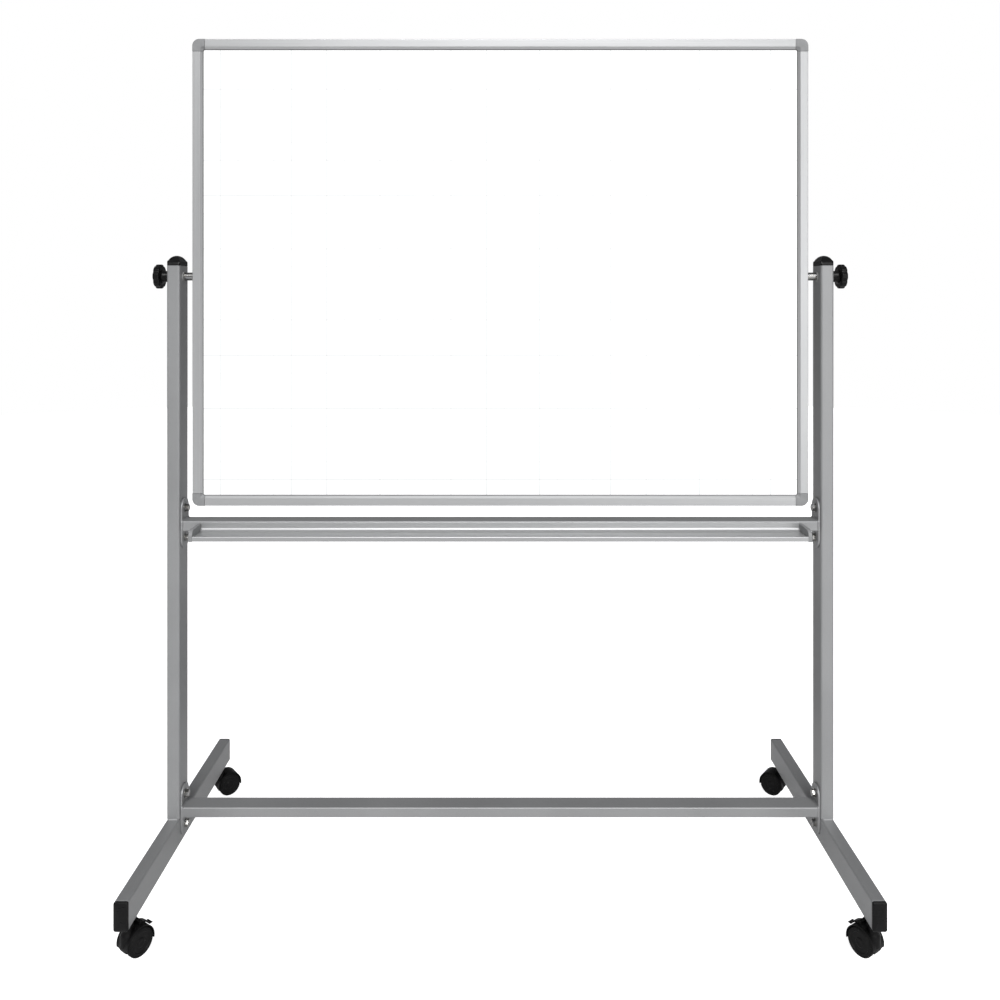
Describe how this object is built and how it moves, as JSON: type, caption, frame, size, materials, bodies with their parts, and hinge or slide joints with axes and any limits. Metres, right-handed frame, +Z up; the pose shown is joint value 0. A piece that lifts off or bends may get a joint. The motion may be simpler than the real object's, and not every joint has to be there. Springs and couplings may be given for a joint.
{
  "type": "rolling whiteboard",
  "caption": "Framed two-sided whiteboard that turns between two posts on a wheeled steel stand, clamped by star knobs, with a pen tray below.",
  "frame": {"origin": "on the floor, midway between the posts and midway through the whole depth", "axes": "+Z up; +X to the right along the board, seen by a writer; +Y away from the writer, who stands on the -Y side"},
  "size_m": [1.369, 0.6062, 1.6524],
  "materials": {
    "silver_powder_coat": "fine matt silver-grey powder coat",
    "anodised_aluminium": "satin clear anodised extrusion",
    "white_enamel_steel": "gloss white writing enamel with a faint grey ruled grid",
    "board_core": "raw light fibreboard",
    "grey_plastic": "satin moulded plastic",
    "black_plastic": "fine textured moulded plastic",
    "wheel_black": "smooth hard tread",
    "zinc_steel": "bright zinc plate",
    "brass_insert": "machined",
    "grey_nylon": "smooth moulded nylon"
  },
  "bodies": {
    "stand": {"left_post": "silver_powder_coat", "right_post": "silver_powder_coat", "left_foot": "silver_powder_coat", "right_foot": "silver_powder_coat", "left_post_cap": "black_plastic", "right_post_cap": "black_plastic", "foot_caps": "black_plastic", "upper_crossbar": "silver_powder_coat", "lower_crossbar": "silver_powder_coat", "left_upper_plate": "silver_powder_coat", "right_upper_plate": "silver_powder_coat", "left_lower_plate": "silver_powder_coat", "right_lower_plate": "silver_powder_coat", "plate_bolts": "zinc_steel", "plate_washers": "zinc_steel", "rivet_nuts": "zinc_steel", "tray": "anodised_aluminium", "left_tray_cap": "grey_plastic", "right_tray_cap": "grey_plastic", "tray_screws": "zinc_steel", "pivot_bushes": "grey_nylon", "knob_washers": "zinc_steel", "caster_stems": "zinc_steel", "caster_sockets": "zinc_steel"},
    "board": {"frame_left": "anodised_aluminium", "frame_right": "anodised_aluminium", "frame_top": "anodised_aluminium", "frame_bottom": "anodised_aluminium", "corner_bottom_left": "grey_plastic", "corner_bottom_right": "grey_plastic", "corner_top_left": "grey_plastic", "corner_top_right": "grey_plastic", "front_sheet": "white_enamel_steel", "back_sheet": "white_enamel_steel", "board_core": "board_core", "pivot_blocks": "zinc_steel", "pivot_studs": "zinc_steel", "pivot_spacers": "zinc_steel"},
    "left_knob": {"left_knob": "black_plastic", "left_knob_insert": "brass_insert"},
    "right_knob": {"right_knob": "black_plastic", "right_knob_insert": "brass_insert"},
    "front_left_caster": {"front_left_caster_housing": "black_plastic", "front_left_caster_axle": "zinc_steel"},
    "front_left_wheel_a": {"front_left_wheel_a": "wheel_black"},
    "front_left_wheel_b": {"front_left_wheel_b": "wheel_black"},
    "front_left_brake": {"front_left_brake_lever": "black_plastic"},
    "front_right_caster": {"front_right_caster_housing": "black_plastic", "front_right_caster_axle": "zinc_steel"},
    "front_right_wheel_a": {"front_right_wheel_a": "wheel_black"},
    "front_right_wheel_b": {"front_right_wheel_b": "wheel_black"},
    "front_right_brake": {"front_right_brake_lever": "black_plastic"},
    "rear_left_caster": {"rear_left_caster_housing": "black_plastic", "rear_left_caster_axle": "zinc_steel"},
    "rear_left_wheel_a": {"rear_left_wheel_a": "wheel_black"},
    "rear_left_wheel_b": {"rear_left_wheel_b": "wheel_black"},
    "rear_right_caster": {"rear_right_caster_housing": "black_plastic", "rear_right_caster_axle": "zinc_steel"},
    "rear_right_wheel_a": {"rear_right_wheel_a": "wheel_black"},
    "rear_right_wheel_b": {"rear_right_wheel_b": "wheel_black"}
  },
  "joints": [
    {"name": "board_turn", "type": "hinge", "parent": "stand", "child": "board", "pos_m": [0, -0.02206, 1.182], "axis": [1, 0, 0], "continuous": true},
    {"name": "left_knob_turn", "type": "hinge", "parent": "stand", "child": "left_knob", "pos_m": [-0.678, -0.02206, 1.182], "axis": [1, 0, 0], "continuous": true},
    {"name": "right_knob_turn", "type": "hinge", "parent": "stand", "child": "right_knob", "pos_m": [0.678, -0.02206, 1.182], "axis": [1, 0, 0], "continuous": true},
    {"name": "front_left_swivel", "type": "hinge", "parent": "stand", "child": "front_left_caster", "pos_m": [-0.6423, -0.27006, 0.045], "axis": [0, 0, 1], "continuous": true},
    {"name": "front_left_wheel_a_spin", "type": "hinge", "parent": "front_left_caster", "child": "front_left_wheel_a", "pos_m": [-0.63335, -0.25679, 0.024], "axis": [-0.829, 0.5592, 0], "continuous": true},
    {"name": "front_left_wheel_b_spin", "type": "hinge", "parent": "front_left_caster", "child": "front_left_wheel_b", "pos_m": [-0.63335, -0.25679, 0.024], "axis": [-0.829, 0.5592, 0], "continuous": true},
    {"name": "front_left_brake_press", "type": "hinge", "parent": "front_left_caster", "child": "front_left_brake", "pos_m": [-0.63041, -0.25243, 0.05464], "axis": [-0.829, 0.5592, 0], "range_deg": [0, 6]},
    {"name": "front_right_swivel", "type": "hinge", "parent": "stand", "child": "front_right_caster", "pos_m": [0.6423, -0.27006, 0.045], "axis": [0, 0, 1], "continuous": true},
    {"name": "front_right_wheel_a_spin", "type": "hinge", "parent": "front_right_caster", "child": "front_right_wheel_a", "pos_m": [0.63335, -0.25679, 0.024], "axis": [-0.829, -0.5592, 0], "continuous": true},
    {"name": "front_right_wheel_b_spin", "type": "hinge", "parent": "front_right_caster", "child": "front_right_wheel_b", "pos_m": [0.63335, -0.25679, 0.024], "axis": [-0.829, -0.5592, 0], "continuous": true},
    {"name": "front_right_brake_press", "type": "hinge", "parent": "front_right_caster", "child": "front_right_brake", "pos_m": [0.63041, -0.25243, 0.05464], "axis": [-0.829, -0.5592, 0], "range_deg": [0, 6]},
    {"name": "rear_left_swivel", "type": "hinge", "parent": "stand", "child": "rear_left_caster", "pos_m": [-0.6423, 0.26394, 0.045], "axis": [0, 0, 1], "continuous": true},
    {"name": "rear_left_wheel_a_spin", "type": "hinge", "parent": "rear_left_caster", "child": "rear_left_wheel_a", "pos_m": [-0.62969, 0.27379, 0.024], "axis": [-0.6157, 0.788, 0], "continuous": true},
    {"name": "rear_left_wheel_b_spin", "type": "hinge", "parent": "rear_left_caster", "child": "rear_left_wheel_b", "pos_m": [-0.62969, 0.27379, 0.024], "axis": [-0.6157, 0.788, 0], "continuous": true},
    {"name": "rear_right_swivel", "type": "hinge", "parent": "stand", "child": "rear_right_caster", "pos_m": [0.6423, 0.26394, 0.045], "axis": [0, 0, 1], "continuous": true},
    {"name": "rear_right_wheel_a_spin", "type": "hinge", "parent": "rear_right_caster", "child": "rear_right_wheel_a", "pos_m": [0.62969, 0.27379, 0.024], "axis": [-0.6157, -0.788, 0], "continuous": true},
    {"name": "rear_right_wheel_b_spin", "type": "hinge", "parent": "rear_right_caster", "child": "rear_right_wheel_b", "pos_m": [0.62969, 0.27379, 0.024], "axis": [-0.6157, -0.788, 0], "continuous": true}
  ]
}
